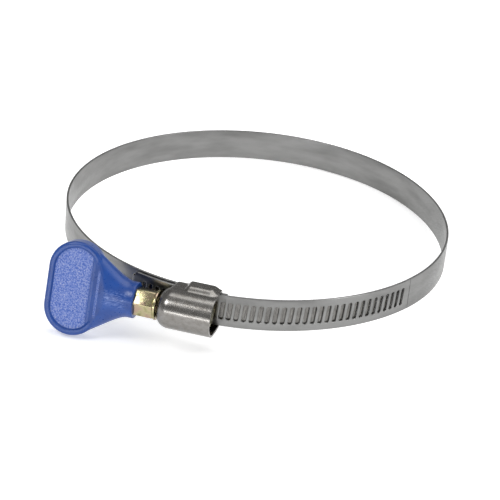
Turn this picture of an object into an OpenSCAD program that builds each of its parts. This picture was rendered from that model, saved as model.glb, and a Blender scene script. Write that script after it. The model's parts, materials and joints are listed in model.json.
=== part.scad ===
// Worm-drive hose clamp with a moulded thumb key.
// Frame: origin on the axis of the closed ring, half way up the band. +Z is the ring's axis,
// the worm lies across -Y and runs along X, and the key is on its -X end.
// Angles around the ring are measured from -Y towards +X.

/* [Ring] */
// Diameter of the hose seat, inside the closed ring at rest
seat_d = 106; // [90:1:140]
// Width of the strip
band_w = 9; // [8:0.1:12]
// Thickness of the strip
band_t = 0.6; // [0.5:0.05:0.8]
// Number of stretches that stand for the bending plain strip
link_count = 12; // [8:1:20]
// Butt gap between two stretches
link_gap = 0.04; // [0.03:0.01:0.1]
// Gap inside the housing between the last stretch and the fixed end
link_end_gap = 1.6; // [1:0.1:2.5]

/* [Slots] */
// Distance from slot to slot, equal to the worm's pitch
slot_pitch = 2; // [1.6:0.05:2.4]
// Slots from the worm's foot towards the plain strip
slots_ahead = 29; // [20:1:40]
// Slots from the worm's foot towards the tail tip
slots_behind = 8; // [6:1:10]
// Length of a slot across the strip
slot_len = 4.9; // [4.6:0.1:6]
// Opening of a slot along the strip
slot_open = 1.15; // [1.1:0.05:1.3]
// Sheet left at the bottom of a pressed slot
slot_floor = 0.06; // [0.05:0.01:0.1]
// Plain strip left after the last slot, before the first stretch
slot_margin = 4.8; // [3:0.1:8]
// Plain strip left at the tail tip
tail_margin = 3.8; // [2:0.1:6]
// Corner cut at the tail tip
tail_chamfer = 1.4; // [0.5:0.1:3]

/* [Worm screw] */
// Outside diameter of the worm
worm_d = 8.4; // [7.6:0.1:10]
// Depth of the thread
thread_depth = 0.95; // [0.7:0.05:1.2]
// How far the thread reaches into the slots
mesh_depth = 0.5; // [0.3:0.05:0.55]
// Length of the thread
worm_len = 12.25; // [9.25:0.25:14]
// Bare shoulder between the neck and the thread
shoulder_len = 0.8; // [0.8:0.1:2]
// How far the shoulder lies under the thread's root
shoulder_step = 0.15; // [0.1:0.05:0.3]
// How far the neck, which turns in the housing's back wall, lies under the shoulder
neck_step = 0.5; // [0.3:0.05:0.8]
// Hexagon head, across the flats
hex_af = 7; // [6:0.5:8]
// Bare length of the hexagon head, between housing and key
head_len = 5.9; // [4:0.1:9]
// Depth of the hexagon inside the key
head_grip = 6.5; // [4:0.5:9]

/* [Housing] */
// Length of the housing
housing_len = 15; // [14:0.5:20]
// Reach of the housing in front of the worm's foot
housing_front = 5.5; // [4:0.5:7]
// Thickness of the pressed sheet
housing_wall = 0.7; // [0.5:0.05:0.9]
// Radius of the rounded back edge
back_round = 2.6; // [1:0.1:3.2]
// How far the side legs stop short of the back wall
leg_setback = 1.8; // [1:0.1:3]
// Length of the folded hem
hem_len = 6.5; // [4:0.5:8]
// How far the hem stops short of the housing's mouth
hem_setback = 2; // [1:0.1:3]
// Thickness of the hem outside the leg
hem_bulge = 0.95; // [0.5:0.05:1.2]
// Height of the hem's shoulder over the strip
hem_rise = 2.6; // [1.5:0.1:4]
// Width of the hem's lip under the strip
hem_lip = 1.1; // [0.6:0.1:2]

/* [Saddle] */
// Thickness of the saddle
saddle_t = 0.6; // [0.55:0.05:0.8]
// Reach of the saddle and the fixed end behind the hems
saddle_back = 1.5; // [0.5:0.1:2]
// Reach of the saddle's tongue past the housing's mouth
tongue_out = 2.4; // [1:0.1:3]
// Bare stretch of the tongue past the fixed end of the strip
tongue_bare = 1.1; // [0.5:0.1:2]

/* [Key] */
// Length of the key's wing, tip to tip across the screw
wing_len = 25; // [20:0.5:28]
// Width of the wing along the screw
wing_w = 15; // [11:0.1:16]
// Thickness of the wing
wing_t = 4.4; // [3:0.1:6]
// Plastic over the corners of the hexagon, in the key's neck
key_wall = 0.46; // [0.4:0.02:1]
// Straight length of the key's neck
key_neck_len = 3.4; // [2:0.1:5]
// Length of the taper between neck and wing
key_taper = 7; // [7:0.1:10]
// Turn of the key and its hexagon about the screw, at rest
key_turn = 15; // [0:1:45]
// How far the wing runs into the taper
wing_lap = 1.2; // [0.5:0.1:2]
// Width of the rim around the pocket
rim_w = 1.6; // [1:0.1:3]
// Depth of the pocket on each face
pocket_depth = 0.7; // [0.3:0.1:1.2]

/* [Clearances] */
// Gap between the moving strip and what lies on each side of it
strip_gap = 0.15; // [0.1:0.05:0.3]
// Least radial gap between the thread and the housing's dome
dome_gap = 0.25; // [0.15:0.05:0.5]
// Gap at each edge of the strip
edge_gap = 0.15; // [0.1:0.05:0.3]
// Radial running clearance of the neck in its hole
neck_gap = 0.08; // [0.04:0.01:0.1]
// End play between screw and housing, on each side of the back wall
end_play = 0.1; // [0.05:0.05:0.3]
// Gap between the hem's lip and the saddle
lip_gap = 0.05; // [0.03:0.01:0.2]
// Gap between the hose and the flat underside of legs, hems and lips
sole_gap = 0.05; // [0.03:0.01:0.2]

/* [Hidden] */
$fn = 96;
cut = 1; // how far a cutting shape runs past what it cuts
weld = 1; // how far a shape runs into the one that it is joined to
ring_fn = 360; // facets of the shapes around the ring's axis
hull_fn = 32; // facets of a shape inside a hull

// radii of the layers, from the hose outwards
seat_r = seat_d / 2;
fixed_r = seat_r + saddle_t;
strip_r = fixed_r + band_t + strip_gap;
strip_out_r = strip_r + band_t;
sole_r = seat_r + sole_gap;
worm_r = worm_d / 2;
axis_y = -(strip_out_r - mesh_depth + worm_r);

// angles around the ring
function arc_angle(len, r) = len / r * 180 / PI;
mesh_r = strip_r + band_t / 2;
slot_step = arc_angle(slot_pitch, mesh_r);
strip_a0 = -slots_behind * slot_step - arc_angle(tail_margin, mesh_r);
strip_a1 = slots_ahead * slot_step + arc_angle(slot_margin, mesh_r);

// housing, along X
back_x = housing_front - housing_len;
leg_in = band_w / 2 + edge_gap;
leg_out = leg_in + housing_wall;
dome_in = max(leg_in, worm_r + dome_gap);
leg_x = back_x + leg_setback;
hem_x = housing_front - hem_setback - hem_len;
hem_out = leg_out + hem_bulge;

// fixed pieces under the strip
saddle_w = 2 * (leg_in - hem_lip - lip_gap);
tongue_a = asin((housing_front + tongue_out) / seat_r);
fixed_a0 = asin((hem_x - saddle_back) / seat_r);
fixed_a1 = tongue_a - arc_angle(tongue_bare, seat_r);

// bending stretches: they start where the slotted strip ends, and end inside the housing
chain_a1 = 360 + fixed_a0 - arc_angle(link_end_gap, seat_r);
link_a = (chain_a1 - strip_a1) / link_count;
step_links = 3; // stretches over which the ring comes down from the strip's layer to the seat
function ring_step(t) = t < step_links ? (strip_r - seat_r) * (1 + cos(180 * t / step_links)) / 2 : 0;
function ring_point(t) =
    let (a = strip_a1 + link_a * t, r = seat_r + ring_step(t))
    [r * sin(a), -r * cos(a)];

// worm screw, along X
neck_x = back_x - end_play;
worm_x = back_x + housing_wall + end_play;
chamber_round = back_round - housing_wall;
crest_spare = min(dome_in - worm_r, chamber_round);
round_reach = chamber_round - sqrt(pow(chamber_round, 2) - pow(chamber_round - crest_spare, 2));
thread_x = max(worm_x + shoulder_len, back_x + housing_wall + round_reach + end_play);
core_r = worm_r - thread_depth;
shoulder_r = core_r - shoulder_step;
neck_r = shoulder_r - neck_step;
head_r = hex_af / 2 / cos(30);
head_x = neck_x - head_len;
thread_sides = 32; // points around the worm
thread_steps = 8; // rings of points along one pitch
crest_share = 1 / 8; // half of the crest's width, as a share of the pitch
flank_share = 1 / 8; // width of one flank, as a share of the pitch

// key, along X
neck_end_x = head_x - key_neck_len;
key_neck_r = head_r + key_wall;
wing_x = neck_end_x - key_taper - wing_w / 2 + wing_lap;
wing_r = wing_w / 2;
wing_reach = wing_len / 2 - wing_r;
pocket_r = wing_r - rim_w;

function link_name(i) = str("band_link_", i < 10 ? "0" : "", i);

// A curved length of strip: inner radius r, thickness t, width w, from angle a0 to a1
module strip_arc(r, t, w, a0, a1) {
    rotate([0, 0, a0 - 90])
        rotate_extrude(angle = a1 - a0, $fn = ring_fn)
            translate([r, -w / 2])
                square([t, w]);
}

// Places its children on the screw's axis, with their z along +X
module on_axis(x) {
    translate([x, axis_y, 0])
        rotate([0, 90, 0])
            children();
}

// Everything nearer the ring's axis than r, over the housing's length
module ring_core(r) {
    translate([0, 0, -hem_out - cut])
        cylinder(r = r, h = 2 * (hem_out + cut), $fn = ring_fn);
}

// Barrel that is closed and rounded at its back end
module barrel(r, len, round_r) {
    rotate_extrude() {
        square([r - round_r, len]);
        translate([0, round_r])
            square([r, len - round_r]);
        translate([r - round_r, round_r])
            intersection() {
                circle(round_r);
                translate([0, -round_r])
                    square(2 * round_r);
            }
    }
}

// One folded hem: the thickened edge of a leg, with a round shoulder
module hem(side) {
    shoulder_y = -(strip_out_r + hem_rise);
    translate([hem_x, shoulder_y, side < 0 ? -hem_out : leg_in])
        cube([hem_len, -shoulder_y - sole_r, hem_out - leg_in]);
    translate([hem_x, shoulder_y, side * leg_out])
        rotate([0, 90, 0])
            cylinder(r = hem_bulge, h = hem_len);
}

// One lip, turned in under the strip level with the saddle
module lip(side) {
    lip_in = saddle_w / 2 + lip_gap;
    intersection() {
        translate([hem_x, -fixed_r - cut, side < 0 ? -leg_out : lip_in])
            cube([hem_len, fixed_r + cut - sole_r, leg_out - lip_in]);
        ring_core(fixed_r);
    }
}

// Pressed housing: dome, back wall, two legs, and the hems that close under the strip
module housing() {
    leg_h = -axis_y - sole_r;
    color("silver") {
        difference() {
            union() {
                on_axis(back_x)
                    barrel(dome_in + housing_wall, housing_len, back_round);
                translate([leg_x, axis_y, -leg_out])
                    cube([housing_front - leg_x, leg_h, 2 * leg_out]);
                for (side = [-1, 1])
                    hem(side);
            }
            // chamber around the worm
            on_axis(back_x + housing_wall)
                barrel(dome_in, housing_len, back_round - housing_wall);
            // channel between the legs
            translate([leg_x, axis_y, -leg_in])
                cube([housing_len, leg_h + cut, 2 * leg_in]);
            // way for the strip under the back wall
            intersection() {
                ring_core(strip_out_r + strip_gap);
                translate([back_x - cut, axis_y, -leg_in])
                    cube([housing_len, leg_h + cut, 2 * leg_in]);
            }
            // hole that the screw's neck turns in
            on_axis(back_x - cut)
                cylinder(r = neck_r + neck_gap, h = housing_wall + 2 * cut);
        }
        for (side = [-1, 1])
            lip(side);
    }
}

// Saddle under the strip, with its tongue past the mouth
module saddle() {
    color("gainsboro")
        strip_arc(seat_r, saddle_t, saddle_w, fixed_a0, tongue_a);
}

// Fixed end of the strip, held between the saddle and the moving strip
module band_fixed_end() {
    color("lightgray")
        strip_arc(fixed_r, band_t, band_w, fixed_a0, fixed_a1);
}

// Moving end of the strip: slots that the worm drives, and the tail behind the housing
module slotted_band() {
    lean = atan(slot_pitch / (2 * PI * (worm_r - mesh_depth / 2)));
    color("lightgray")
        difference() {
            strip_arc(strip_r, band_t, band_w, strip_a0, strip_a1 - arc_angle(link_gap, strip_r));
            for (k = [-slots_behind:slots_ahead])
                rotate([0, 0, k * slot_step])
                    translate([0, -strip_r - slot_floor - cut, 0])
                        rotate([0, lean, 0])
                            cube([slot_open, 2 * cut, slot_len], center = true);
            for (side = [-1, 1])
                rotate([0, 0, strip_a0])
                    translate([0, -mesh_r, side * band_w / 2])
                        rotate([0, 45, 0])
                            cube([tail_chamfer * sqrt(2), 2 * cut, tail_chamfer * sqrt(2)], center = true);
        }
}

// One stretch of plain strip, an arc of the seat's radius between two points of the ring.
// Neighbours turn on each other about their inner edges as the ring closes.
module band_link(i) {
    p0 = ring_point(i - 1);
    p1 = ring_point(i);
    chord = p1 - p0;
    half = norm(chord) / 2;
    way_in = [-chord[1], chord[0]] / (2 * half);
    middle = (p0 + p1) / 2;
    centre = middle + way_in * sqrt(seat_r * seat_r - half * half);
    start = p0 - centre;
    a0 = atan2(start[0], -start[1]);
    color("lightgray")
        translate([centre[0], centre[1], 0])
            strip_arc(seat_r, band_t, band_w, a0, a0 + 2 * asin(half / seat_r) - arc_angle(link_gap, seat_r));
}

// Height of the thread over the core at a share of the pitch: crest, flank, root, flank
function thread_height(share) =
    let (from_crest = abs(share - round(share)))
    thread_depth * min(1, max(0, (crest_share + flank_share - from_crest) / flank_share));

// Worm barrel: rings of points across the axis, each point's radius set by the helix
module worm_thread() {
    turns = floor(worm_len / slot_pitch * thread_steps) / thread_steps;
    rings = turns * thread_steps;
    points = [
        for (ring = [0:rings], side = [0:thread_sides - 1])
            let (
                a = 360 * side / thread_sides,
                x = thread_x + ring * slot_pitch / thread_steps,
                r = core_r + thread_height(x / slot_pitch - side / thread_sides)
            )
            [x, axis_y + r * cos(a), r * sin(a)]
    ];
    faces = [
        [for (side = [0:thread_sides - 1]) side],
        [for (side = [thread_sides - 1:-1:0]) rings * thread_sides + side],
        for (ring = [0:rings - 1], side = [0:thread_sides - 1])
            let (
                next = (side + 1) % thread_sides,
                a = ring * thread_sides + side,
                b = ring * thread_sides + next,
                c = a + thread_sides,
                d = b + thread_sides
            )
            each [[a, c, d], [a, d, b]]
    ];
    polyhedron(points, faces);
}

// Children turned about the screw's axis by the key's turn at rest
module turned() {
    translate([0, axis_y, 0])
        rotate([-key_turn, 0, 0])
            translate([0, -axis_y, 0])
                children();
}

// Worm screw: threaded barrel, neck in the back wall, hexagon head that the key is pressed on
module worm_screw() {
    color("darkkhaki") {
        worm_thread();
        on_axis(worm_x)
            cylinder(r = shoulder_r, h = thread_x - worm_x + weld / 2);
        on_axis(neck_x - weld)
            cylinder(r = neck_r, h = worm_x - neck_x + 2 * weld);
        turned()
            on_axis(head_x - head_grip)
                cylinder(r = head_r, h = neck_x - head_x + head_grip, $fn = 6);
    }
}

// Round-ended plate across the screw's axis: z runs along the wing, y through it
module wing_plate(x, r, reach, thickness) {
    translate([x, axis_y + thickness / 2, 0])
        rotate([90, 0, 0])
            linear_extrude(thickness) {
                for (side = [-1, 1])
                    translate([0, side * reach])
                        circle(r);
                translate([-r, -reach])
                    square([2 * r, 2 * reach]);
            }
}

// Moulded key: neck, taper and wing, with a shallow pocket on each face
module thumb_key() {
    color("royalblue")
        turned()
            difference() {
                union() {
                    wing_plate(wing_x, wing_r, wing_reach, wing_t);
                    on_axis(neck_end_x - weld)
                        cylinder(r = key_neck_r, h = key_neck_len + weld);
                    hull() {
                        on_axis(neck_end_x - weld)
                            cylinder(r = key_neck_r, h = weld, $fn = hull_fn);
                        translate([wing_x, axis_y - wing_t / 2, -wing_reach])
                            cube([wing_r, wing_t, 2 * wing_reach]);
                    }
                }
                for (side = [-1, 1])
                    translate([0, side * (wing_t - pocket_depth / 2), 0])
                        wing_plate(wing_x, pocket_r, wing_reach, wing_t + pocket_depth);
                on_axis(head_x - head_grip)
                    cylinder(r = head_r, h = head_grip + cut, $fn = 6);
            }
}

housing();
saddle();
band_fixed_end();
worm_screw();
thumb_key();
slotted_band();
for (i = [1:link_count])
    band_link(i);
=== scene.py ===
"""Worm-drive hose clamp with a moulded thumb key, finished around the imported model."""
import json
import logging
import math
from dataclasses import dataclass, field
from enum import Enum
from functools import cached_property
from typing import Callable, Iterable, Optional, Sequence

import bmesh
import bpy
from mathutils import Matrix, Vector


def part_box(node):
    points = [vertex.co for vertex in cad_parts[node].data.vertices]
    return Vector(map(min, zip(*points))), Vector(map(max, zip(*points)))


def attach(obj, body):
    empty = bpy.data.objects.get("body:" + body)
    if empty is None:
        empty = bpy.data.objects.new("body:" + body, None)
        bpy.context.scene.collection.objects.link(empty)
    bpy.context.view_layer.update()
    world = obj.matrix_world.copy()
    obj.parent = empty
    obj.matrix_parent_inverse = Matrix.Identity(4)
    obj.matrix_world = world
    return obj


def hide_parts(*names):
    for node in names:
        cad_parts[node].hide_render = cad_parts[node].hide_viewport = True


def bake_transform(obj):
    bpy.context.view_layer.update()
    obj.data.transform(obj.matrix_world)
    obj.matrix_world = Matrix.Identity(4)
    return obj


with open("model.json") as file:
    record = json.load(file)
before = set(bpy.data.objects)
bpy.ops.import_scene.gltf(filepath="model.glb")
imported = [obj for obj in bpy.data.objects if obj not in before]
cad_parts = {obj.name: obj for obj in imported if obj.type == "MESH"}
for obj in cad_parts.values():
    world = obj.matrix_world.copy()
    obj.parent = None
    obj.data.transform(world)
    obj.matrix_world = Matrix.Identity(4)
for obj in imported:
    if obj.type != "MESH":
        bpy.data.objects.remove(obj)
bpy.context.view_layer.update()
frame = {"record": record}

MM = 0.001
LOG = logging.getLogger("hose_clamp")

Point = tuple[float, float, float]
Colour = tuple[float, float, float, float]


# ---------------------------------------------------------------- helpers

def srgb(code: str) -> Colour:
    """Turn an sRGB hex colour into the linear colour that a shader takes.

    Args:
        code: Six hex digits with a leading hash, such as "#1f4c96".

    Returns:
        Linear red, green and blue, and an alpha of one.
    """
    parts = [int(code[i:i + 2], 16) / 255 for i in (1, 3, 5)]
    linear = [p / 12.92 if p <= 0.04045 else ((p + 0.055) / 1.055) ** 2.4 for p in parts]
    return (*linear, 1.0)


def smoothstep(low: float, high: float, value: float) -> float:
    """Return a smooth ramp from 0 at low to 1 at high."""
    share = min(1.0, max(0.0, (value - low) / (high - low)))
    return share * share * (3 - 2 * share)


def add_node(tree: bpy.types.NodeTree, kind: str, settings: Optional[dict] = None,
             **inputs: object) -> bpy.types.Node:
    """Add one shader node, with its settings and its inputs.

    Args:
        tree: The node tree to add to.
        kind: Blender's name of the node type.
        settings: Properties of the node itself.
        **inputs: A value or an output socket for each input, by its name with _ for a space,
            or by its number after an "i", as in i0.

    Returns:
        The new node.
    """
    node = tree.nodes.new(kind)
    for name, value in (settings or {}).items():
        setattr(node, name, value)
    for name, value in inputs.items():
        key = int(name[1:]) if name[0] == "i" and name[1:].isdigit() else name.replace("_", " ")
        if isinstance(value, bpy.types.NodeSocket):
            tree.links.new(value, node.inputs[key])
        else:
            node.inputs[key].default_value = value
    return node


def ramp(tree: bpy.types.NodeTree, source: bpy.types.NodeSocket,
         stops: Sequence[tuple[float, Colour]]) -> bpy.types.NodeSocket:
    """Map a value through a colour ramp.

    Args:
        tree: The node tree to add to.
        source: The value that runs along the ramp.
        stops: Place and colour of each stop, in order.

    Returns:
        The ramp's colour output.
    """
    node = add_node(tree, "ShaderNodeValToRGB", Fac=source)
    elements = node.color_ramp.elements
    while len(elements) < len(stops):
        elements.new(0.5)
    for element, (place, colour) in zip(elements, stops):
        element.position = place
        element.color = colour
    return node.outputs["Color"]


def grey(level: float) -> Colour:
    """Return a linear grey as a colour."""
    return (level, level, level, 1.0)


def chain_of(bm: bmesh.types.BMesh, points: Iterable[Point], closed: bool) -> list:
    """Add a chain of vertices joined by edges.

    Args:
        bm: The mesh to add to.
        points: Places of the vertices, in metres.
        closed: Whether the last vertex joins the first.

    Returns:
        The new vertices, in order.
    """
    verts = [bm.verts.new(p) for p in points]
    for a, b in zip(verts, verts[1:]):
        bm.edges.new((a, b))
    if closed:
        bm.edges.new((verts[-1], verts[0]))
    return verts


def loft(bm: bmesh.types.BMesh, rings: Sequence[Sequence[Point]], closed: bool,
         capped: bool = False) -> None:
    """Extrude a chain of edges from ring to ring.

    Args:
        bm: The mesh to add to.
        rings: Places of each ring's points. All rings have the same number of points.
        closed: Whether each ring is a closed loop.
        capped: Whether the first and last rings are filled.
    """
    verts = chain_of(bm, rings[0], closed)
    first = list(verts)
    for places in rings[1:]:
        pairs = zip(verts, verts[1:] + verts[:1]) if closed else zip(verts, verts[1:])
        edges = [bm.edges.get(pair) for pair in pairs]
        made = bmesh.ops.extrude_edge_only(bm, edges=edges)
        new = {g for g in made["geom"] if isinstance(g, bmesh.types.BMVert)}
        verts = [next(e.other_vert(v) for e in v.link_edges if e.other_vert(v) in new)
                 for v in verts]
        for vert, place in zip(verts, places):
            vert.co = place
    if capped:
        bm.faces.new(first)
        bm.faces.new(verts)


def make_piece(bm: bmesh.types.BMesh, name: str, crease: float = 35.0,
               merge: float = 0.002) -> bpy.types.Object:
    """Close a bmesh into an object at the origin, with clean outward faces.

    Args:
        bm: The finished mesh, in metres. It is freed.
        name: Name of the piece.
        crease: Edges sharper than this angle in degrees stay sharp.
        merge: Vertices closer than this many millimetres become one.

    Returns:
        The new object, linked to the scene.
    """
    bmesh.ops.remove_doubles(bm, verts=bm.verts, dist=merge * MM)
    bmesh.ops.recalc_face_normals(bm, faces=bm.faces)
    if all(edge.is_manifold for edge in bm.edges) and bm.calc_volume(signed=True) < 0:
        bmesh.ops.reverse_faces(bm, faces=bm.faces)
    mesh = bpy.data.meshes.new(name)
    bm.to_mesh(mesh)
    bm.free()
    for polygon in mesh.polygons:
        polygon.use_smooth = True
    mesh.set_sharp_from_angle(angle=math.radians(crease))
    piece = bpy.data.objects.new(name, mesh)
    bpy.context.collection.objects.link(piece)
    return piece


def apply_modifiers(piece: bpy.types.Object) -> None:
    """Replace the piece's mesh by what its modifiers make of it."""
    graph = bpy.context.evaluated_depsgraph_get()
    done = bpy.data.meshes.new_from_object(piece.evaluated_get(graph))
    piece.modifiers.clear()
    piece.data = done


def set_attribute(piece: bpy.types.Object, name: str, kind: str,
                  rule: Callable[[Vector], object]) -> None:
    """Store a value worked out from each vertex's place.

    Args:
        piece: The object whose mesh gets the attribute.
        name: The attribute's name, which the material reads.
        kind: "FLOAT" or "FLOAT_VECTOR".
        rule: Gives the value for a vertex's place.
    """
    layer = piece.data.attributes.new(name, kind, "POINT")
    key = "value" if kind == "FLOAT" else "vector"
    for item, vert in zip(layer.data, piece.data.vertices):
        setattr(item, key, rule(vert.co))


# ---------------------------------------------------------------- sizes from the frame

@dataclass(frozen=True)
class ClampSizes:
    """Places and sizes that every sub-assembly works from, in metres."""

    seat_r: float
    strip_r: float
    axis_y: float
    strip_start: float
    link_angle: float
    link_count: int
    strip_w: float
    strip_t: float = 0.6 * MM
    step_links: int = 3
    key_turn: float = math.radians(15)

    @classmethod
    def from_frame(cls) -> "ClampSizes":
        """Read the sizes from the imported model's record and boxes.

        Returns:
            The sizes that the pieces share.
        """
        joints = {j["name"]: j for j in frame["record"]["behaviour"]["joints"]}
        first, second = (Vector(joints[f"bend_{i:02d}"]["pos_m"]) for i in (1, 2))
        start, after = (math.atan2(p.x, -p.y) for p in (first, second))
        low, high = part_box("slotted_band")
        return cls(
            seat_r=frame["record"]["mounts"][0]["dims"]["r_mm"] * MM,
            strip_r=first.length,
            axis_y=joints["screw_turn"]["pos_m"][1],
            strip_start=start,
            link_angle=after - start,
            link_count=sum(name.startswith("bend_") for name in joints),
            strip_w=high[2] - low[2],
        )

    def ring_radius(self, angle: float) -> float:
        """Return the strip's inner radius at an angle: it steps down after the slotted stretch."""
        links = max(0.0, (angle - self.strip_start) / self.link_angle)
        step = self.strip_r - self.seat_r
        if links >= self.step_links:
            return self.seat_r
        return self.seat_r + step * (1 + math.cos(math.pi * links / self.step_links)) / 2

    def on_ring(self, angle: float, radius: float, z: float) -> Point:
        """Return the place at an angle from -Y towards +X, a radius and a height."""
        return (radius * math.sin(angle), -radius * math.cos(angle), z)

    def turn_key(self) -> Matrix:
        """Return the turn about the screw's axis that the key and the hexagon rest at."""
        centre = Vector((0, self.axis_y, 0))
        turn = Matrix.Rotation(-self.key_turn, 4, "X")
        return Matrix.Translation(centre) @ turn @ Matrix.Translation(-centre)

    def on_screw(self, x: float, radius: float, turn: float) -> Point:
        """Return the place at a station along the screw, a radius and a turn about its axis."""
        return (x, self.axis_y + radius * math.cos(turn), radius * math.sin(turn))


# ---------------------------------------------------------------- finishes

class Pattern(Enum):
    """Which coordinates a finish's pattern follows."""

    UNROLLED = "unrolled"
    OBJECT = "object"


@dataclass(frozen=True)
class Finish:
    """What all the finishes share: a name, a record slot and a shader to build on."""

    name: str
    slot: str

    def start(self) -> tuple[bpy.types.Material, bpy.types.NodeTree, bpy.types.Node]:
        """Make an empty material with one shader.

        Returns:
            The material, its node tree and its shader node.
        """
        material = bpy.data.materials.new(self.name)
        material.use_nodes = True
        tree = material.node_tree
        return material, tree, tree.nodes["Principled BSDF"]

    def coordinates(self, tree: bpy.types.NodeTree, pattern: Pattern) -> bpy.types.NodeSocket:
        """Return the coordinates that a pattern reads, in metres."""
        if pattern is Pattern.UNROLLED:
            settings = {"attribute_name": pattern.value}
            return add_node(tree, "ShaderNodeAttribute", settings).outputs["Vector"]
        return add_node(tree, "ShaderNodeTexCoord").outputs["Object"]

    def grain(self, tree: bpy.types.NodeTree, where: bpy.types.NodeSocket, size_mm: Point,
              turn: Point = (0, 0, 0), detail: float = 3.0) -> bpy.types.NodeSocket:
        """Add noise whose features have a real size.

        Args:
            tree: The node tree to add to.
            where: Coordinates in metres.
            size_mm: Size of a feature along each axis, in millimetres.
            turn: Turn of the pattern about each axis, in degrees.
            detail: Number of finer layers.

        Returns:
            The noise value, about 0.5 on average.
        """
        turned = add_node(tree, "ShaderNodeMapping", Vector=where,
                          Rotation=tuple(math.radians(t) for t in turn))
        scaled = add_node(tree, "ShaderNodeMapping", Vector=turned.outputs[0],
                          Scale=tuple(1 / (s * MM) for s in size_mm))
        return add_node(tree, "ShaderNodeTexNoise", Vector=scaled.outputs[0], Scale=1.0,
                        Detail=detail, Roughness=0.55).outputs[0]

    def bump(self, tree: bpy.types.NodeTree, height: bpy.types.NodeSocket, depth_mm: float,
             under: Optional[bpy.types.NodeSocket] = None) -> bpy.types.NodeSocket:
        """Add a bump of a real depth, on top of another one if given.

        Args:
            tree: The node tree to add to.
            height: Height of the pattern, from 0 to 1.
            depth_mm: Depth that a height of 1 stands for, in millimetres.
            under: Normal of a bump that this one lies on.

        Returns:
            The normal.
        """
        node = add_node(tree, "ShaderNodeBump", Height=height, Distance=depth_mm * MM, Strength=1.0)
        if under is not None:
            tree.links.new(under, node.inputs["Normal"])
        return node.outputs[0]


@dataclass(frozen=True)
class RolledSteel(Finish):
    """Cold-rolled stainless strip: satin, with fine lines along its length and a soft blur."""

    light: str = "#868685"
    dark: str = "#747473"

    def build(self) -> bpy.types.Material:
        """Make the material.

        Returns:
            A metal whose fine lines run along the unrolled strip.
        """
        material, tree, shader = self.start()
        along = self.coordinates(tree, Pattern.UNROLLED)
        # rolling lines are under 0.05 mm apart; they are drawn 0.16 mm apart so that they show
        lines = self.grain(tree, along, (9.0, 0.16, 0.3))
        clouds = self.grain(tree, along, (14.0, 3.5, 3.0), detail=2.0)
        handling = self.grain(tree, along, (2.2, 0.35, 0.5), turn=(0, 0, 24), detail=4.0)
        shader.inputs["Metallic"].default_value = 1.0
        tones = ramp(tree, clouds, [(0.3, srgb(self.dark)), (0.62, srgb(self.light))])
        tree.links.new(tones, shader.inputs["Base Color"])
        marks = ramp(tree, handling, [(0.35, grey(0.30)), (0.66, grey(0.42))])
        tree.links.new(marks, shader.inputs["Roughness"])
        tree.links.new(self.bump(tree, lines, 0.003, self.bump(tree, handling, 0.003)),
                       shader.inputs["Normal"])
        return material


@dataclass(frozen=True)
class BurnishedSteelPaintedShade(Finish):
    """Strip steel stretched and burnished by the slot punch, so smoother than the strip; its darker
    colour is painted shade of the slot recesses.
    """

    tone: str = "#4c4b49"

    def build(self) -> bpy.types.Material:
        """Make the material.

        Returns:
            A dark, fairly sharp metal with fine marks across each slot.
        """
        material, tree, shader = self.start()
        flat = self.coordinates(tree, Pattern.UNROLLED)
        marks = self.grain(tree, flat, (0.12, 1.5, 0.3))
        shader.inputs["Metallic"].default_value = 1.0
        # the floors' dark tone is painted shade in the slot recesses, with lighter burnish marks on
        # it
        tones = ramp(tree, marks, [(0.3, srgb(self.tone)), (0.75, srgb("#8b8986"))])
        tree.links.new(tones, shader.inputs["Base Color"])
        rough = add_node(tree, "ShaderNodeMapRange", Value=marks, i1=0.3, i2=0.7, i3=0.12, i4=0.26)
        tree.links.new(rough.outputs[0], shader.inputs["Roughness"])
        tree.links.new(self.bump(tree, marks, 0.004), shader.inputs["Normal"])
        return material


@dataclass(frozen=True)
class PressedSteel(Finish):
    """Deep-pressed stainless sheet: brighter, drawn along the screw, with diagonal scratches."""

    light: str = "#858380"
    dark: str = "#76736f"

    def build(self) -> bpy.types.Material:
        """Make the material.

        Returns:
            A metal with draw marks, orange-peel ripples and sparse scratches.
        """
        material, tree, shader = self.start()
        where = self.coordinates(tree, Pattern.OBJECT)
        draw = self.grain(tree, where, (5.0, 0.22, 0.22))
        ripple = self.grain(tree, where, (1.6, 1.1, 1.1), detail=2.0)
        scratch = self.grain(tree, where, (4.5, 0.14, 0.14), turn=(0, 38, 0), detail=1.0)
        shader.inputs["Metallic"].default_value = 1.0
        tones = ramp(tree, ripple, [(0.28, srgb(self.dark)), (0.6, srgb(self.light))])
        tree.links.new(tones, shader.inputs["Base Color"])
        cuts = ramp(tree, scratch, [(0.66, grey(0.0)), (0.78, grey(1.0))])
        rough = add_node(tree, "ShaderNodeMapRange", Value=draw, i1=0.3, i2=0.7, i3=0.17, i4=0.28)
        worn = add_node(tree, "ShaderNodeMath", {"operation": "MULTIPLY_ADD"}, i0=cuts, i1=0.22,
                        i2=rough.outputs[0])
        tree.links.new(worn.outputs[0], shader.inputs["Roughness"])
        peel = self.bump(tree, ripple, 0.004)
        lines = self.bump(tree, draw, 0.003, peel)
        tree.links.new(self.bump(tree, cuts, 0.0008, lines), shader.inputs["Normal"])
        return material


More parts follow.
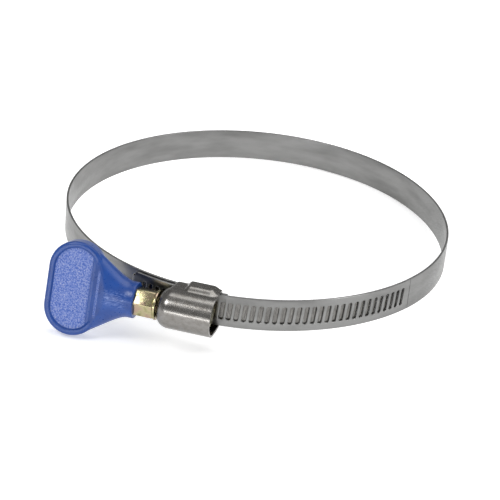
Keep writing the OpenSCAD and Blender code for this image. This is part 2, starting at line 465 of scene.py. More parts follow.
@dataclass(frozen=True)
class ZincPassivate(Finish):
    """Yellow-passivated zinc on turned steel: a thin film whose tint drifts from olive to pink."""

    olive: str = "#77734c"
    straw: str = "#a9a27e"
    pink: str = "#a8917f"

    def build(self) -> bpy.types.Material:
        """Make the material.

        Returns:
            A glossy metal with a drifting tint and fine turning marks.
        """
        material, tree, shader = self.start()
        where = self.coordinates(tree, Pattern.OBJECT)
        film = self.grain(tree, where, (3.2, 2.4, 2.4), detail=2.0)
        turned = self.grain(tree, where, (0.14, 5.0, 5.0))
        stains = self.grain(tree, where, (0.7, 0.5, 0.5), detail=4.0)
        shader.inputs["Metallic"].default_value = 1.0
        tint = ramp(tree, film, [(0.34, srgb(self.olive)), (0.5, srgb(self.straw)),
                                 (0.66, srgb(self.pink))])
        tree.links.new(tint, shader.inputs["Base Color"])
        rough = add_node(tree, "ShaderNodeMapRange", Value=stains, i1=0.3, i2=0.7, i3=0.12, i4=0.3)
        tree.links.new(rough.outputs[0], shader.inputs["Roughness"])
        tree.links.new(self.bump(tree, turned, 0.006, self.bump(tree, stains, 0.02)),
                       shader.inputs["Normal"])
        return material


@dataclass(frozen=True)
class MouldedPlastic(Finish):
    """Injection-moulded polypropylene: glossy deep blue, with frosted spark-eroded pads."""

    blue: str = "#12418b"
    deep: str = "#0f387d"
    frost: str = "#8a92b8"
    scuff_and_sheen: str = "#6f86c0"

    def build(self) -> bpy.types.Material:
        """Make the material.

        Returns:
            A glossy plastic whose "spark" attribute brings in a coarse frosted texture.
        """
        material, tree, shader = self.start()
        where = self.coordinates(tree, Pattern.OBJECT)
        spark = add_node(tree, "ShaderNodeAttribute", {"attribute_name": "spark"}).outputs["Fac"]
        rub_and_sheen = add_node(tree, "ShaderNodeAttribute", {"attribute_name": "rub_and_sheen"}).outputs["Fac"]
        flow = self.grain(tree, where, (6.0, 5.0, 5.0), detail=2.0)
        skin = self.grain(tree, where, (0.5, 0.5, 0.5), detail=3.0)
        # the eroded grit is about 0.2 mm across; it is drawn at 0.34 mm so that it shows
        grit = self.grain(tree, where, (0.34, 0.34, 0.34), detail=2.0)
        strokes = self.grain(tree, where, (1.4, 0.16, 0.16), turn=(0, 20, 0), detail=3.0)
        gloss = ramp(tree, flow, [(0.35, srgb(self.deep)), (0.65, srgb(self.blue))])
        speckle = ramp(tree, grit, [(0.38, srgb("#33529f")), (0.52, srgb("#6277b4")),
                                    (0.68, srgb(self.frost)), (0.82, srgb("#b4b8cc"))])
        # lighter strokes on the neck: handling scuffs together with painted sheen of the convex
        # neck
        rubbed_and_sheen = add_node(tree, "ShaderNodeMath", {"operation": "MULTIPLY"}, i0=rub_and_sheen,
                          i1=ramp(tree, strokes, [(0.5, grey(0.0)), (0.68, grey(0.8))]))
        worn = add_node(tree, "ShaderNodeMix", {"data_type": "RGBA"}, i0=rubbed_and_sheen.outputs[0],
                        i6=gloss, i7=srgb(self.scuff_and_sheen))
        body = add_node(tree, "ShaderNodeMix", {"data_type": "RGBA"}, i0=spark,
                        i6=worn.outputs[2], i7=speckle)
        tree.links.new(body.outputs[2], shader.inputs["Base Color"])
        rough = add_node(tree, "ShaderNodeMapRange", Value=skin, i1=0.3, i2=0.7, i3=0.26, i4=0.36)
        frosted = add_node(tree, "ShaderNodeMath", {"operation": "MULTIPLY_ADD"}, i0=spark, i1=0.3,
                           i2=rough.outputs[0])
        tree.links.new(frosted.outputs[0], shader.inputs["Roughness"])
        shader.inputs["IOR"].default_value = 1.49
        high = add_node(tree, "ShaderNodeMath", {"operation": "MULTIPLY"}, i0=grit, i1=spark)
        tree.links.new(self.bump(tree, high.outputs[0], 0.10, self.bump(tree, skin, 0.008)),
                       shader.inputs["Normal"])
        return material


@dataclass(frozen=True)
class StudioPaper(Finish):
    """Seamless studio paper: plain, pale and matt, with a faint tooth."""

    def build(self) -> bpy.types.Material:
        """Make the material.

        Returns:
            A matt white with a faint grain.
        """
        material, tree, shader = self.start()
        tooth = self.grain(tree, self.coordinates(tree, Pattern.OBJECT), (3.0, 3.0, 3.0))
        tree.links.new(ramp(tree, tooth, [(0.3, srgb("#fafafa")), (0.7, srgb("#ffffff"))]),
                       shader.inputs["Base Color"])
        shader.inputs["Roughness"].default_value = 0.9
        shader.inputs["Specular IOR Level"].default_value = 0.1
        # lit from below like a light table, so that shadows stay faint
        shader.inputs["Emission Color"].default_value = srgb("#ffffff")
        shader.inputs["Emission Strength"].default_value = 0.35
        return material


# ---------------------------------------------------------------- the strip

@dataclass
class Strip:
    """The steel strip: its slotted end, the plain stretches that bend, and its fixed end."""

    sizes: ClampSizes
    pitch: float = 2.0 * MM
    slots_ahead: int = 29
    slots_behind: int = 8
    slot_len: float = 4.9 * MM
    slot_open: float = 1.15 * MM
    slot_round: float = 0.42 * MM
    worm_mesh_r: float = 3.95 * MM
    tail_margin: float = 3.8 * MM
    tail_chamfer: float = 1.4 * MM
    edge_round: float = 0.14 * MM
    rim_round: float = 0.2 * MM
    floor_t: float = 0.06 * MM
    floor_seat: float = 0.05 * MM
    stations_per_link: int = 18
    corner_steps: int = 3
    pieces: list[bpy.types.Object] = field(default_factory=list)

    @property
    def middle_r(self) -> float:
        """Radius of the slotted stretch's middle layer."""
        return self.sizes.strip_r + self.sizes.strip_t / 2

    def section(self, width: float, thickness: float) -> list[tuple[float, float]]:
        """Give the strip's cross-section: a flat bar with rolled edges.

        Args:
            width: Width along the ring's axis.
            thickness: Thickness along the radius.

        Returns:
            Offsets along the radius and along the axis, in order around the bar.
        """
        points = []
        for side, turn in ((1, 0), (-1, 180)):
            for corner in (0, 1):
                for step in range(self.corner_steps + 1):
                    a = math.radians(turn + 90 * corner + 90 * step / self.corner_steps)
                    outward = side if corner == 0 else -side
                    mid_t = thickness / 2 + (thickness / 2 - self.edge_round) * outward
                    mid_w = (width / 2 - self.edge_round) * side
                    points.append((mid_t + self.edge_round * math.cos(a),
                                   mid_w + self.edge_round * math.sin(a)))
        return points

    def sweep(self, name: str, angles: Sequence[float], radius: Callable[[float], float],
              width: float, thickness: float) -> bpy.types.Object:
        """Sweep the cross-section around the ring.

        Args:
            name: Name of the piece.
            angles: Stations around the ring.
            radius: Gives the inner radius at an angle.
            width: Width of the strip.
            thickness: Thickness of the strip.

        Returns:
            The piece, with its unrolled coordinates stored.
        """
        bm = bmesh.new()
        outline = self.section(width, thickness)
        rings = [[self.sizes.on_ring(a, radius(a) + t, w) for t, w in outline] for a in angles]
        loft(bm, rings, closed=True, capped=True)
        piece = make_piece(bm, name, crease=50)
        self.unroll(piece)
        return piece

    def unroll(self, piece: bpy.types.Object) -> None:
        """Store each point's place on the strip laid flat: along, across and through."""
        def flat(co: Vector) -> Point:
            """Return the flat place of a point on the ring."""
            angle = math.atan2(co.x, -co.y) % (2 * math.pi)
            return (angle * self.middle_r, co.z, co.xy.length)
        set_attribute(piece, "unrolled", "FLOAT_VECTOR", flat)

    def slot_cell(self, bm: bmesh.types.BMesh) -> None:
        """Add one pitch of flat strip around one slot, which has rounded corners."""
        half_s, half_w = self.pitch / 2, self.sizes.strip_w / 2
        slot_s, slot_w, r = self.slot_open / 2, self.slot_len / 2, self.slot_round
        lean = self.pitch / (2 * math.pi * self.worm_mesh_r)
        inner, outer = [], []
        for sx, sy, flip in ((1, 1, False), (-1, 1, True), (-1, -1, False), (1, -1, True)):
            corner = []
            for step in range(5):
                a = math.radians(22.5 * step)
                near = (slot_s - r + r * math.cos(a), slot_w - r + r * math.sin(a))
                far = [(half_s, slot_w - r), (half_s, (slot_w - r + half_w) / 2), (half_s, half_w),
                       ((slot_s - r + half_s) / 2, half_w), (slot_s - r, half_w)][step]
                corner.append(((sx * near[0], sy * near[1]), (sx * far[0], sy * far[1])))
            for near, far in (reversed(corner) if flip else corner):
                inner.append((near[0] + near[1] * lean, near[1], 0.0))
                outer.append((far[0], far[1], 0.0))
        rings = []
        for loop in (inner, outer):
            verts = chain_of(bm, loop, closed=True)
            rings += [bm.edges.get(pair) for pair in zip(verts, verts[1:] + verts[:1])]
        bmesh.ops.bridge_loops(bm, edges=rings)

    def build_slotted(self) -> bpy.types.Object:
        """Punch the slotted end flat, give it its thickness and bend it round the ring.

        Returns:
            The slotted strip, from its tail tip to where the plain stretches start.
        """
        bm = bmesh.new()
        self.slot_cell(bm)
        cell = list(bm.verts) + list(bm.edges) + list(bm.faces)
        for k in range(-self.slots_behind, self.slots_ahead + 1):
            if k:
                copy = bmesh.ops.duplicate(bm, geom=cell)["geom"]
                verts = [g for g in copy if isinstance(g, bmesh.types.BMVert)]
                bmesh.ops.translate(bm, verts=verts, vec=(k * self.pitch, 0, 0))
        bmesh.ops.remove_doubles(bm, verts=bm.verts, dist=0.002 * MM)
        front = self.slots_ahead * self.pitch + self.pitch / 2
        back = -self.slots_behind * self.pitch - self.pitch / 2
        tip = -self.slots_behind * self.pitch - self.tail_margin
        root = (self.sizes.strip_start - self.sizes.link_angle / 12) * self.middle_r
        self.lengthen(bm, front, root, 5)
        self.lengthen(bm, back, tip, 3)
        for vert in bm.verts:
            if vert.co.x < tip + 0.01 * MM:
                over = abs(vert.co.y) - (self.sizes.strip_w / 2 - self.tail_chamfer)
                vert.co.x += max(0.0, over)
        grown = bmesh.ops.extrude_face_region(bm, geom=list(bm.faces))["geom"]
        top = [g for g in grown if isinstance(g, bmesh.types.BMVert)]
        bmesh.ops.translate(bm, verts=top, vec=(0, 0, self.sizes.strip_t))
        bmesh.ops.recalc_face_normals(bm, faces=bm.faces)
        rims = [e for e in bm.edges
                if len(e.link_faces) == 2 and e.calc_face_angle(0) > math.radians(60)
                and abs(e.verts[0].co.z - e.verts[1].co.z) < 0.01 * MM]
        bmesh.ops.bevel(bm, geom=rims, affect="EDGES", offset=self.rim_round, offset_type="OFFSET",
                        segments=3, profile=0.5, material=-1, clamp_overlap=True)
        for vert in bm.verts:
            s, w, t = vert.co
            angle = s / self.middle_r
            vert.co = self.sizes.on_ring(angle, self.sizes.strip_r + t, w)
        piece = make_piece(bm, "slotted_strip", crease=40)
        self.unroll(piece)
        return piece

    def build_floors(self) -> bpy.types.Object:
        """Make the thin floors that close the pressed slots.

        Returns:
            All the floors as one piece, seated in the slots' walls.
        """
        bm = bmesh.new()
        lean = self.pitch / (2 * math.pi * self.worm_mesh_r)
        grown = self.floor_seat
        for k in range(-self.slots_behind, self.slots_ahead + 1):
            plate = bmesh.ops.create_cube(bm, size=1.0)["verts"]
            for vert in plate:
                w = vert.co.y * (self.slot_len + 2 * grown)
                s = vert.co.x * (self.slot_open + 2 * grown) + w * lean + k * self.pitch
                angle = s / self.middle_r
                radius = self.sizes.strip_r + self.floor_t * (vert.co.z + 0.5)
                vert.co = self.sizes.on_ring(angle, radius, w)
        piece = make_piece(bm, "slot_floors", crease=40)
        self.unroll(piece)
        return piece

    def lengthen(self, bm: bmesh.types.BMesh, start: float, stop: float, steps: int) -> None:
        """Extrude the flat strip's end edges from one station to another.

        Args:
            bm: The flat strip.
            start: Where the strip ends now.
            stop: Where it is to end.
            steps: Number of stretches.
        """
        for step in range(steps):
            here = start + (stop - start) * step / steps
            edges = [e for e in bm.edges if all(abs(v.co.x - here) < 0.01 * MM for v in e.verts)]
            made = bmesh.ops.extrude_edge_only(bm, edges=edges)["geom"]
            verts = [g for g in made if isinstance(g, bmesh.types.BMVert)]
            bmesh.ops.translate(bm, verts=verts, vec=((stop - start) / steps, 0, 0))

    def build_stretches(self) -> None:
        """Make the plain stretches, each from the middle of one link to the middle of the next."""
        s = self.sizes
        overlap = s.link_angle / 12
        for i in range(1, s.link_count + 1):
            first = s.strip_start - overlap if i == 1 else s.strip_start + (i - 1.5) * s.link_angle
            last = s.strip_start + (i - 0.5) * s.link_angle
            self.add_stretch(f"plain_strip_{i:02d}", first, last, i)
        end = s.strip_start + s.link_count * s.link_angle
        self.add_stretch("plain_strip_end", end - s.link_angle / 2, end + 0.4 * MM / s.seat_r, None)

    def add_stretch(self, name: str, first: float, last: float, link: Optional[int]) -> None:
        """Sweep one plain stretch: the end one rides on the last link, each other one is baked in
        place and hides its link's part.

        Args:
            name: Name of the piece.
            first: Angle where it starts.
            last: Angle where it ends.
            link: Number of the link at its end, or None for the one that rides on the last.
        """
        s = self.sizes
        count = self.stations_per_link
        angles = [first + (last - first) * k / count for k in range(count + 1)]
        piece = self.sweep(name, angles, s.ring_radius, s.strip_w, s.strip_t)
        self.pieces.append(piece)
        if link is None:
            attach(piece, f"band_link_{s.link_count:02d}")
            return
        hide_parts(f"band_link_{link:02d}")
        ends = [s.on_ring(a, s.ring_radius(a), 0.0) for a in (first, last)]
        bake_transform(piece)

    def build(self) -> None:
        """Make every piece of the strip and its saddle."""
        slotted = self.build_slotted()
        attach(slotted, "strip_end")
        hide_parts("slotted_band")
        floors = self.build_floors()
        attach(floors, "strip_end")
        self.pieces += [slotted, floors]
        self.build_stretches()
        for node, name in (("saddle", "saddle_plate"), ("band_fixed_end", "strip_fixed_end")):
            low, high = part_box(node)
            inner = self.fixed_radius(node)
            first, last = (math.asin(x / inner) for x in (low[0], high[0]))
            angles = [first + (last - first) * k / 12 for k in range(13)]
            width = high[2] - low[2]
            piece = self.sweep(name, angles, lambda a, r=inner: r, width, self.sizes.strip_t)
            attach(piece, "housing")
            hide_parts(node)
            self.pieces.append(piece)

    def fixed_radius(self, node: str) -> float:
        """Return a fixed piece's inner radius: the lowest point of its box less its thickness."""
        return -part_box(node)[0][1] - self.sizes.strip_t

    def dress(self, steel: bpy.types.Material, slot: str) -> None:
        """Give the strip its finish, and the slots' floors theirs, darkened with painted shade."""
        burnished_painted_shade = BurnishedSteelPaintedShade("burnished_slot_steel_painted_shade", slot).build()
        for piece in self.pieces:
            piece.data.materials.append(burnished_painted_shade if piece.name == "slot_floors" else steel)


# ---------------------------------------------------------------- the housing

@dataclass
class Housing:
    """The pressed housing: dome, rounded back with the neck's hole, legs, hems and lips."""

    sizes: ClampSizes
    sheet: float = 0.6 * MM
    dome_r: float = 5.05 * MM
    back_round: float = 3.2 * MM
    hole_r: float = 2.72 * MM
    lip_in: float = 3.55 * MM
    lip_drop: float = 5.3 * MM
    corner_r: float = 0.6 * MM
    strip_way: float = 3.5 * MM
    hem_start: float = -3.0 * MM
    hem_stop: float = 3.5 * MM
    hem_top: float = 0.1 * MM
    hem_full: float = 2.4 * MM
    leg_morph: float = 1.5 * MM
    edge_round: float = 0.13 * MM
    dome_steps: int = 28
    leg_steps: int = 12
    corner_steps: int = 5
    lip_steps: int = 3
    body_steps: int = 44
    back_steps: int = 14
    piece: Optional[bpy.types.Object] = None

    @cached_property
    def box(self) -> tuple[Vector, Vector]:
        """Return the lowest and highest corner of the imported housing."""
        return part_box("housing")

    def half_section(self) -> list[tuple[float, float]]:
        """Give one side of the section from the dome's foot down to the lip's end.

        Returns:
            Offsets sideways and outwards from the screw's axis, from the foot down.
        """
        side, drop, r = self.dome_r, self.lip_drop, self.corner_r
        points = [(side, -(drop - r) * k / self.leg_steps) for k in range(1, self.leg_steps + 1)]
        for k in range(1, self.corner_steps + 1):
            a = math.radians(90 * k / self.corner_steps)
            points.append((side - r + r * math.cos(a), -(drop - r) - r * math.sin(a)))
        run = side - r - self.lip_in
        points += [(side - r - run * k / self.lip_steps, -drop)
                   for k in range(1, self.lip_steps + 1)]
        return points

    def ring(self, x: float, radius: float) -> list[Point]:
        """Give the sheet's middle surface at one station along the screw.

        Args:
            x: Station along the screw.
            radius: Radius of the dome there.

        Returns:
            Places from one lip over the dome to the other lip.
        """
        high = self.box[1]
        morph = smoothstep(0, 1, (self.back_start() + 0.2 * MM - x) / self.leg_morph)
        bulge = high[2] - (self.dome_r + self.sheet / 2)
        ramp_in = smoothstep(self.hem_start - 0.6 * MM, self.hem_start + 0.7 * MM, x)
        ramp_out = 1 - 0.85 * smoothstep(self.hem_stop - 0.2 * MM, high[0], x)
        below = math.asin(min(1.0, self.strip_way / radius))
        half = []
        legs = self.half_section()
        for k, (side, out) in enumerate(legs):
            lift = smoothstep(self.hem_top, self.hem_full, -out) * ramp_in * ramp_out * bulge
            reach = (side - self.lip_in) / (self.dome_r - self.lip_in)
            turn = below * (k + 1) / len(legs)
            round_side, round_out = radius * math.cos(turn), -radius * math.sin(turn)
            half.append(((side + lift * reach) * (1 - morph) + round_side * morph,
                         out * (1 - morph) + round_out * morph))
        turns = [math.pi * k / self.dome_steps for k in range(self.dome_steps + 1)]
        dome = [(radius * math.cos(turn), radius * math.sin(turn)) for turn in turns]
        other = [(-side, out) for side, out in half]
        section = list(reversed(half)) + dome + other
        return [(x, self.sizes.axis_y - out, side) for side, out in section]

    def back_start(self) -> float:
        """Return where the back starts to round in."""
        turn = math.acos((self.hole_r - self.dome_r + self.back_round) / self.back_round)
        return self.box[0][0] + self.sheet / 2 + self.back_round * math.sin(turn)

    def build(self) -> None:
        """Press the housing from one sheet: a run of sections, then the rounded back."""
        high = self.box[1]
        start = self.back_start()
        front = [high[0] - (high[0] - start) * k / self.body_steps
                 for k in range(self.body_steps + 1)]
        rings = [self.ring(x, self.dome_r) for x in front]
        last = math.acos((self.hole_r - self.dome_r + self.back_round) / self.back_round)
        for k in range(1, self.back_steps + 1):
            a = last * k / self.back_steps
            radius = self.dome_r - self.back_round * (1 - math.cos(a))
            rings.append(self.ring(start - self.back_round * math.sin(a), radius))
        bm = bmesh.new()
        loft(bm, rings, closed=False)
        self.piece = make_piece(bm, "pressed_housing", crease=60)
        wall = self.piece.modifiers.new("sheet", "SOLIDIFY")
        wall.thickness, wall.offset, wall.use_even_offset = self.sheet, 0.0, True
        rim = self.piece.modifiers.new("rolled_edge", "BEVEL")
        rim.width, rim.segments, rim.angle_limit = self.edge_round, 2, math.radians(50)
        apply_modifiers(self.piece)
        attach(self.piece, "housing")
        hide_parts("housing")

    def dress(self, steel: bpy.types.Material, slot: str) -> None:
        """Give the housing its finish."""
        self.piece.data.materials.append(steel)


# ---------------------------------------------------------------- the worm screw

@dataclass
class WormScrew:
    """The worm screw: thread, shoulder, neck, and the hexagon that the key is pressed on."""

    sizes: ClampSizes
    pitch: float = 2.0 * MM
    thread_r: float = 4.15 * MM
    core_r: float = 3.25 * MM
    neck_r: float = 2.6 * MM
    thread_len: float = 12.25 * MM
    shoulder_len: float = 0.8 * MM
    hex_af: float = 6.9 * MM
    hex_round: float = 0.25 * MM
    flange_r: float = 3.98 * MM
    flange_len: float = 0.7 * MM
    head_len: float = 5.9 * MM
    grip: float = 1.5 * MM
    runout: float = 1.2 * MM
    sides: int = 48
    steps: int = 12
    pieces: list[bpy.types.Object] = field(default_factory=list)

    def thread_radius(self, x: float, turn: float, start: float) -> float:
        """Return the radius of the thread's surface, which runs out at both ends.

        Args:
            x: Station along the screw.
            turn: Turn about the axis.
            start: Where the thread starts.

        Returns:
            The radius there.
        """
        share = x / self.pitch - turn / (2 * math.pi)
        off_crest = abs(share - round(share))
        height = 1 - smoothstep(0.11, 0.28, off_crest)
        end = start + self.thread_len
        ends = smoothstep(0, self.runout, x - start) * smoothstep(0, self.runout, end - x)
        return self.core_r + (self.thread_r - self.core_r) * height * ends

    def build(self) -> None:
        """Make the worm with its neck, and the head with its flange."""
        low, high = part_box("worm_screw")
        start = high[0] - self.thread_len
        neck_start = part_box("housing")[0][0] - 0.1 * MM
        count = int(self.thread_len / self.pitch * self.steps)
        turns = [2 * math.pi * k / self.sides for k in range(self.sides)]
        profile = [
            (neck_start - 0.3 * MM, self.neck_r),
            (start - self.shoulder_len - 0.02 * MM, self.neck_r),
            (start - self.shoulder_len, self.core_r - 0.15 * MM),
            (start - 0.05 * MM, self.core_r - 0.1 * MM),
        ]
        rings = [[self.sizes.on_screw(x, r, t) for t in turns] for x, r in profile]
        for k in range(count + 1):
            x = start + self.thread_len * k / count
            rings.append([self.sizes.on_screw(x, self.thread_radius(x, t, start), t)
                          for t in turns])
        rings.append([self.sizes.on_screw(high[0], self.core_r * 0.4, t) for t in turns])
        bm = bmesh.new()
        loft(bm, rings, closed=True, capped=True)
        self.pieces.append(make_piece(bm, "worm", crease=50))
        self.pieces.append(self.build_head(neck_start))
        for piece in self.pieces:
            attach(piece, "screw")
        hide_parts("worm_screw")

    def build_head(self, stop: float) -> bpy.types.Object:
        """Turn the hexagon bar with its rounded ends and its flange.

        Args:
            stop: Where the flange ends, next to the housing.

        Returns:
            The head.
        """
        bm = bmesh.new()
        length = self.head_len + self.grip
        across = self.hex_af / math.cos(math.radians(30))
        middle = (stop - length / 2, self.sizes.axis_y, 0)
        place = Matrix.Translation(middle) @ Matrix.Rotation(math.radians(90), 4, "Y")
        shift = Matrix.Translation((-self.flange_len / 2, 0, 0))
        bmesh.ops.create_cone(bm, cap_ends=True, segments=6, radius1=across / 2,
                              radius2=across / 2, depth=length - self.flange_len,
                              matrix=shift @ place)
        bmesh.ops.bevel(bm, geom=bm.edges[:], affect="EDGES", offset=self.hex_round, segments=3,
                        offset_type="OFFSET", profile=0.5, material=-1, clamp_overlap=True)
        shift = Matrix.Translation((length / 2 - self.flange_len / 2, 0, 0))
        flange = bmesh.ops.create_cone(bm, cap_ends=True, segments=64, radius1=self.flange_r,
                                       radius2=self.flange_r, depth=self.flange_len,
                                       matrix=shift @ place)
        rims = {e for v in flange["verts"] for e in v.link_edges if len(e.link_faces) == 2
                and e.calc_face_angle(0) > math.radians(60)}
        bmesh.ops.bevel(bm, geom=list(rims), affect="EDGES", offset=0.2 * MM, segments=3,
                        offset_type="OFFSET", profile=0.5, material=-1, clamp_overlap=True)
        bmesh.ops.transform(bm, verts=bm.verts, matrix=self.sizes.turn_key())
        return make_piece(bm, "hexagon_head", crease=40)

    def dress(self, zinc: bpy.types.Material, slot: str) -> None:
        """Give the screw its finish."""
        for piece in self.pieces:
            piece.data.materials.append(zinc)


# ---------------------------------------------------------------- the key

@dataclass
class ThumbKey:
    """The moulded thumb key: neck, flare and round-ended wing with a frosted pad on each face."""

    sizes: ClampSizes
    wing_r: float = 7.5 * MM
    wing_half_t: float = 2.2 * MM
    rim_w: float = 1.6 * MM
    pocket: float = 0.7 * MM
    bead_round: float = 0.7 * MM
    neck_r: float = 4.35 * MM
    flare_slope: float = 0.70
    flare_blend: float = 1.5 * MM
    flat_apex: float = 7.6 * MM
    web_slope: float = 0.62
    flare_steps: int = 60
    pad_draft: float = 0.3 * MM
    pin_mark: tuple[float, float, float, float] = (0.45 * MM, 0.6 * MM, 0.75 * MM, 0.95 * MM)
    pin_shift: float = 0.8 * MM
    pin_depth: float = 0.10 * MM
    voxel: float = 0.18 * MM
    smooth_passes: int = 2
    sides: int = 96
    piece: Optional[bpy.types.Object] = None

    @cached_property
    def open_end(self) -> float:
        """Return where the key's open end lies along the screw."""
        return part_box("thumb_key")[1][0]

    @cached_property
    def wing_centre(self) -> float:
        """Return the wing's centre along the screw."""
        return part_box("thumb_key")[0][0] + self.wing_r

    @cached_property
    def reach(self) -> float:
        """Return how far the wing's round ends lie from the screw's axis."""
        turn = self.sizes.key_turn
        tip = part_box("thumb_key")[1][2] - self.wing_half_t * math.sin(turn)
        return tip / math.cos(turn) - self.wing_r

    def inside_stadium(self, co: Vector, radius: float) -> float:
        """Return how far a point lies inside the wing's outline shrunk to a radius."""
        past = max(0.0, abs(co.z) - self.reach)
        return radius - math.hypot(co.x - self.wing_centre, past)

    def add_wing(self, bm: bmesh.types.BMesh) -> None:
        """Add the wing: a stadium plate whose faces are inset to a pocket, with a round bead."""
        made = bmesh.ops.create_circle(bm, cap_ends=True, segments=self.sides, radius=self.wing_r)
        ring = made["verts"]
        for vert in ring:
            shift = self.reach if vert.co.y > 0 else -self.reach
            vert.co = (vert.co.x, 0, vert.co.y + shift)
        top = bmesh.ops.extrude_face_region(bm, geom=[ring[0].link_faces[0]])["geom"]
        lifted = [g for g in top if isinstance(g, bmesh.types.BMVert)]
        bmesh.ops.translate(bm, verts=ring, vec=(0, -self.wing_half_t, 0))
        bmesh.ops.translate(bm, verts=lifted, vec=(0, self.wing_half_t, 0))
        bmesh.ops.recalc_face_normals(bm, faces=bm.faces)
        faces = [f for f in bm.faces if len(f.verts) > 4]
        rim = [e for f in faces for e in f.edges]
        bmesh.ops.bevel(bm, geom=rim, affect="EDGES", offset=self.bead_round, segments=5,
                        offset_type="OFFSET", profile=0.5, material=-1, clamp_overlap=True)
        faces = [f for f in bm.faces if len(f.verts) > 4]
        crown = self.rim_w - self.bead_round - self.pad_draft / 2
        bmesh.ops.inset_individual(bm, faces=faces, thickness=crown)
        bmesh.ops.inset_individual(bm, faces=faces, thickness=self.pad_draft, depth=-self.pocket)
        bmesh.ops.translate(bm, verts=bm.verts, vec=(self.wing_centre, self.sizes.axis_y, 0))

    def flare(self, x: float) -> tuple[float, float, float]:
        """Give the flare's section at one station.

        Args:
            x: Station along the screw.

        Returns:
            Half height, half thickness, and the level of the flat cut on each face.
        """
        end = self.open_end
        slope_angle = math.atan(self.flare_slope)
        touch_x = self.wing_centre + self.wing_r * math.sin(slope_angle)
        touch_z = self.reach + self.wing_r * math.cos(slope_angle)
        line = touch_z - self.flare_slope * (x - touch_x)
        height = (self.neck_r + line + math.hypot(self.neck_r - line, self.flare_blend)) / 2
        height -= 0.12 * MM
        lip = 0.25 * MM * smoothstep(end - 2.6 * MM, end, x)
        flat = self.neck_r - self.web_slope * (end - self.flat_apex - x)
        return height + lip, self.neck_r + lip, max(self.wing_half_t - self.pocket * 0.4, flat)

    def add_flare(self, bm: bmesh.types.BMesh) -> None:
        """Add the neck and the flare, whose faces are cut flat towards the wing."""
        end = self.open_end
        stop = self.wing_centre + self.wing_r * 0.55
        rings = []
        for k in range(self.flare_steps + 1):
            x = end + (stop - end) * k / self.flare_steps
            height, thick, flat = self.flare(x)
            turns = [2 * math.pi * j / self.sides for j in range(self.sides)]
            sides = [max(-flat, min(flat, thick * math.sin(t))) for t in turns]
            rings.append([(x, self.sizes.axis_y + side, height * math.cos(t))
                          for side, t in zip(sides, turns)])
        loft(bm, rings, closed=True, capped=True)

    def build(self) -> None:
        """Mould the key: join wing and flare into one skin, then press the details into it."""
        bm = bmesh.new()
        self.add_wing(bm)
        self.add_flare(bm)
        self.piece = make_piece(bm, "thumb_key_body", crease=180)
        skin = self.piece.modifiers.new("skin", "REMESH")
        skin.mode, skin.voxel_size, skin.use_smooth_shade = "VOXEL", self.voxel, True
        apply_modifiers(self.piece)
        self.relax()
        self.press_details()
        for polygon in self.piece.data.polygons:
            polygon.use_smooth = True
        set_attribute(self.piece, "spark", "FLOAT", self.spark_at)
        set_attribute(self.piece, "rub_and_sheen", "FLOAT", self.rub_and_sheen_at)
        self.piece.data.transform(self.sizes.turn_key())
        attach(self.piece, "screw")
        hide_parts("thumb_key")

    def relax(self) -> None:
        """Smooth the skin a little, as a polished mould leaves it."""
        bm = bmesh.new()
        bm.from_mesh(self.piece.data)
        for _ in range(self.smooth_passes):
            bmesh.ops.smooth_vert(bm, verts=bm.verts, factor=0.5, use_axis_x=True, use_axis_y=True,
                                  use_axis_z=True)
        bm.to_mesh(self.piece.data)
        bm.free()

    def press_details(self) -> None:
        """Raise a ring around the marks of the two ejector pins on each pad."""
        for vert in self.piece.data.vertices:
            side = vert.co.y - self.sizes.axis_y
            if self.inside_stadium(vert.co, self.wing_r - self.rim_w) < 0.3 * MM:
                continue
            off = math.hypot(vert.co.x - self.wing_centre,
                             abs(vert.co.z) - self.reach - self.pin_shift)
            rise, crest, fall, foot = self.pin_mark
            ring = smoothstep(rise, crest, off) * (1 - smoothstep(fall, foot, off))
            vert.co.y += math.copysign(self.pin_depth * ring, side)

    def spark_at(self, co: Vector) -> float:
        """Return how frosted the skin is: on the pads, and on the ridge next to them."""
        side = abs(co.y - self.sizes.axis_y)
        depth = self.inside_stadium(co, self.wing_r - self.rim_w - self.pad_draft / 2)
        pad = smoothstep(-0.05 * MM, 0.12 * MM, depth)
        pad *= 1 - smoothstep(self.wing_half_t - 0.45 * MM, self.wing_half_t - 0.3 * MM, side)
        along = co.x - self.wing_centre
        ridge = smoothstep(6.1 * MM, 6.25 * MM, along) * (1 - smoothstep(6.9 * MM, 7.1 * MM, along))
        ridge *= 1 - smoothstep(self.reach + 0.2 * MM, self.reach + 1.8 * MM, abs(co.z))
        ridge *= smoothstep(self.wing_half_t - 0.25 * MM, self.wing_half_t - 0.1 * MM, side)
        return max(pad, 0.75 * ridge)

    def rub_and_sheen_at(self, co: Vector) -> float:
        """Return how much the neck's front is lightened: handling scuffs together with painted
        sheen where the convex neck catches the light.
        """
        back = self.open_end - co.x
        along = smoothstep(1.0 * MM, 2.5 * MM, back) * (1 - smoothstep(7.0 * MM, 9.5 * MM, back))
        across = 1 - smoothstep(1.2 * MM, 2.8 * MM, abs(co.z))
        return along * across

    def dress(self, plastic: bpy.types.Material, slot: str) -> None:
        """Give the key its finish."""
        self.piece.data.materials.append(plastic)


# ---------------------------------------------------------------- the studio

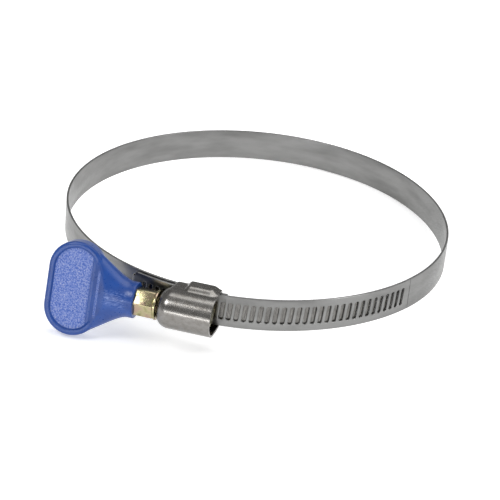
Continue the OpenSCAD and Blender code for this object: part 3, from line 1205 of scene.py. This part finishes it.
@dataclass
class Studio:
    """A pale floor that the clamp rests on, soft lights and the camera."""

    sizes: ClampSizes
    azimuth: float = 13.0
    elevation: float = 25.94
    roll: float = 5.8
    distance: float = 0.521
    lens: float = 132.3
    shift: tuple[float, float] = (-0.0112, -0.0584)
    floor_size: float = 6.0
    floor_gap: float = 0.05 * MM
    wing_r: float = 7.5 * MM

    def build_floor(self, paper: bpy.types.Material) -> None:
        """Lay the floor under the wing's tip and the far edge of the ring, where it touches."""
        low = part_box("thumb_key")[0]
        lean = low[2] * math.tan(self.sizes.key_turn)
        tip = Vector((low[0] + self.wing_r, self.sizes.axis_y + lean, low[2]))
        away = Vector((tip.x, tip.y, 0)).normalized()
        ring_r = self.sizes.seat_r + self.sizes.strip_t
        far = Vector((-away.x * ring_r, -away.y * ring_r, -self.sizes.strip_w / 2))
        along = (tip - far).normalized()
        across = Vector((away.y, -away.x, 0))
        normal = along.cross(across).normalized()
        if normal.z < 0:
            normal.negate()
        bm = bmesh.new()
        bmesh.ops.create_grid(bm, x_segments=2, y_segments=2, size=self.floor_size / 2)
        turn = Vector((0, 0, 1)).rotation_difference(normal).to_matrix().to_4x4()
        under = Matrix.Translation(far - normal * self.floor_gap)
        bmesh.ops.transform(bm, verts=bm.verts, matrix=under @ turn)
        floor = make_piece(bm, "studio_floor")
        floor.data.materials.append(paper)

    def add_softbox(self, name: str, place: Point, size: tuple[float, float], power: float,
                    colour: str = "#ffffff") -> None:
        """Add one area light aimed at the clamp.

        Args:
            name: Name of the light.
            place: Where it stands.
            size: Its width and height.
            power: Its power in watts.
            colour: Its colour.
        """
        data = bpy.data.lights.new(name, "AREA")
        data.shape, data.size, data.size_y = "RECTANGLE", size[0], size[1]
        data.energy, data.color = power, srgb(colour)[:3]
        light = bpy.data.objects.new(name, data)
        light.location = place
        light.rotation_euler = (-Vector(place)).to_track_quat("-Z", "Y").to_euler()
        bpy.context.collection.objects.link(light)

    def build_lights(self) -> None:
        """Set a soft dome that is lightest at the horizon, and four softboxes."""
        world = bpy.data.worlds.new("studio_dome")
        world.use_nodes = True
        tree = world.node_tree
        where = add_node(tree, "ShaderNodeTexCoord").outputs["Generated"]
        height = add_node(tree, "ShaderNodeSeparateXYZ", Vector=where).outputs["Z"]
        tone = ramp(tree, height, [(0.0, grey(0.3)), (0.09, grey(0.26)), (0.26, grey(0.14)),
                                   (0.8, grey(0.14)), (1.0, grey(0.24))])
        tree.links.new(tone, tree.nodes["Background"].inputs["Color"])
        tree.nodes["Background"].inputs["Strength"].default_value = 2.4
        bpy.context.scene.world = world
        self.add_softbox("key_softbox", (-0.45, -0.55, 0.75), (0.35, 0.35), 3.4)
        self.add_softbox("top_softbox", (0.15, 0.25, 0.9), (0.8, 0.8), 4.0)
        self.add_softbox("front_strip_box", (-0.12, -0.95, 0.05), (0.9, 0.10), 1.9)
        self.add_softbox("side_softbox", (0.8, -0.35, 0.35), (0.3, 0.5), 3.0)

    def build_camera(self) -> None:
        """Stand the camera where the ring shows as wide and as tilted as it should."""
        az, el, roll = (math.radians(v) for v in (self.azimuth, self.elevation, self.roll))
        towards = Vector((math.sin(az) * math.cos(el), -math.cos(az) * math.cos(el), math.sin(el)))
        right = Vector((0, 0, 1)).cross(towards).normalized()
        up = towards.cross(right).normalized()
        right, up = (right * math.cos(roll) + up * math.sin(roll),
                     up * math.cos(roll) - right * math.sin(roll))
        matrix = Matrix((right, up, towards)).transposed().to_4x4()
        matrix.translation = towards * self.distance
        data = bpy.data.cameras.new("camera")
        data.lens, data.sensor_width = self.lens, 36.0
        data.shift_x, data.shift_y = self.shift
        data.clip_start, data.clip_end = 0.01, 20.0
        camera = bpy.data.objects.new("camera", data)
        camera.matrix_world = matrix
        bpy.context.collection.objects.link(camera)
        bpy.context.scene.camera = camera


def main() -> None:
    """Build the camera, then each sub-assembly in order, and report its pieces."""
    logging.basicConfig(level=logging.INFO, format="%(name)s: %(message)s")
    sizes = ClampSizes.from_frame()
    studio = Studio(sizes)
    studio.build_camera()
    bpy.context.scene.view_settings.view_transform = "Standard"
    rolled = RolledSteel("rolled_stainless", "strip_steel")
    pressed = PressedSteel("pressed_stainless", "housing_steel")
    zinc = ZincPassivate("yellow_passivated_zinc", "zinc_screw")
    plastic = MouldedPlastic("moulded_polypropylene", "key_plastic")
    strip, housing = Strip(sizes), Housing(sizes)
    screw, key = WormScrew(sizes), ThumbKey(sizes)
    for assembly, finish in ((strip, rolled), (housing, pressed), (screw, zinc), (key, plastic)):
        assembly.build()
        assembly.dress(finish.build(), finish.slot)
        made = getattr(assembly, "pieces", None) or [assembly.piece]
        for piece in made:
            LOG.info("%s: %d faces, %s", piece.name, len(piece.data.polygons), finish.name)
    studio.build_floor(StudioPaper("studio_paper", "").build())
    studio.build_lights()


if __name__ == "__main__":
    main()
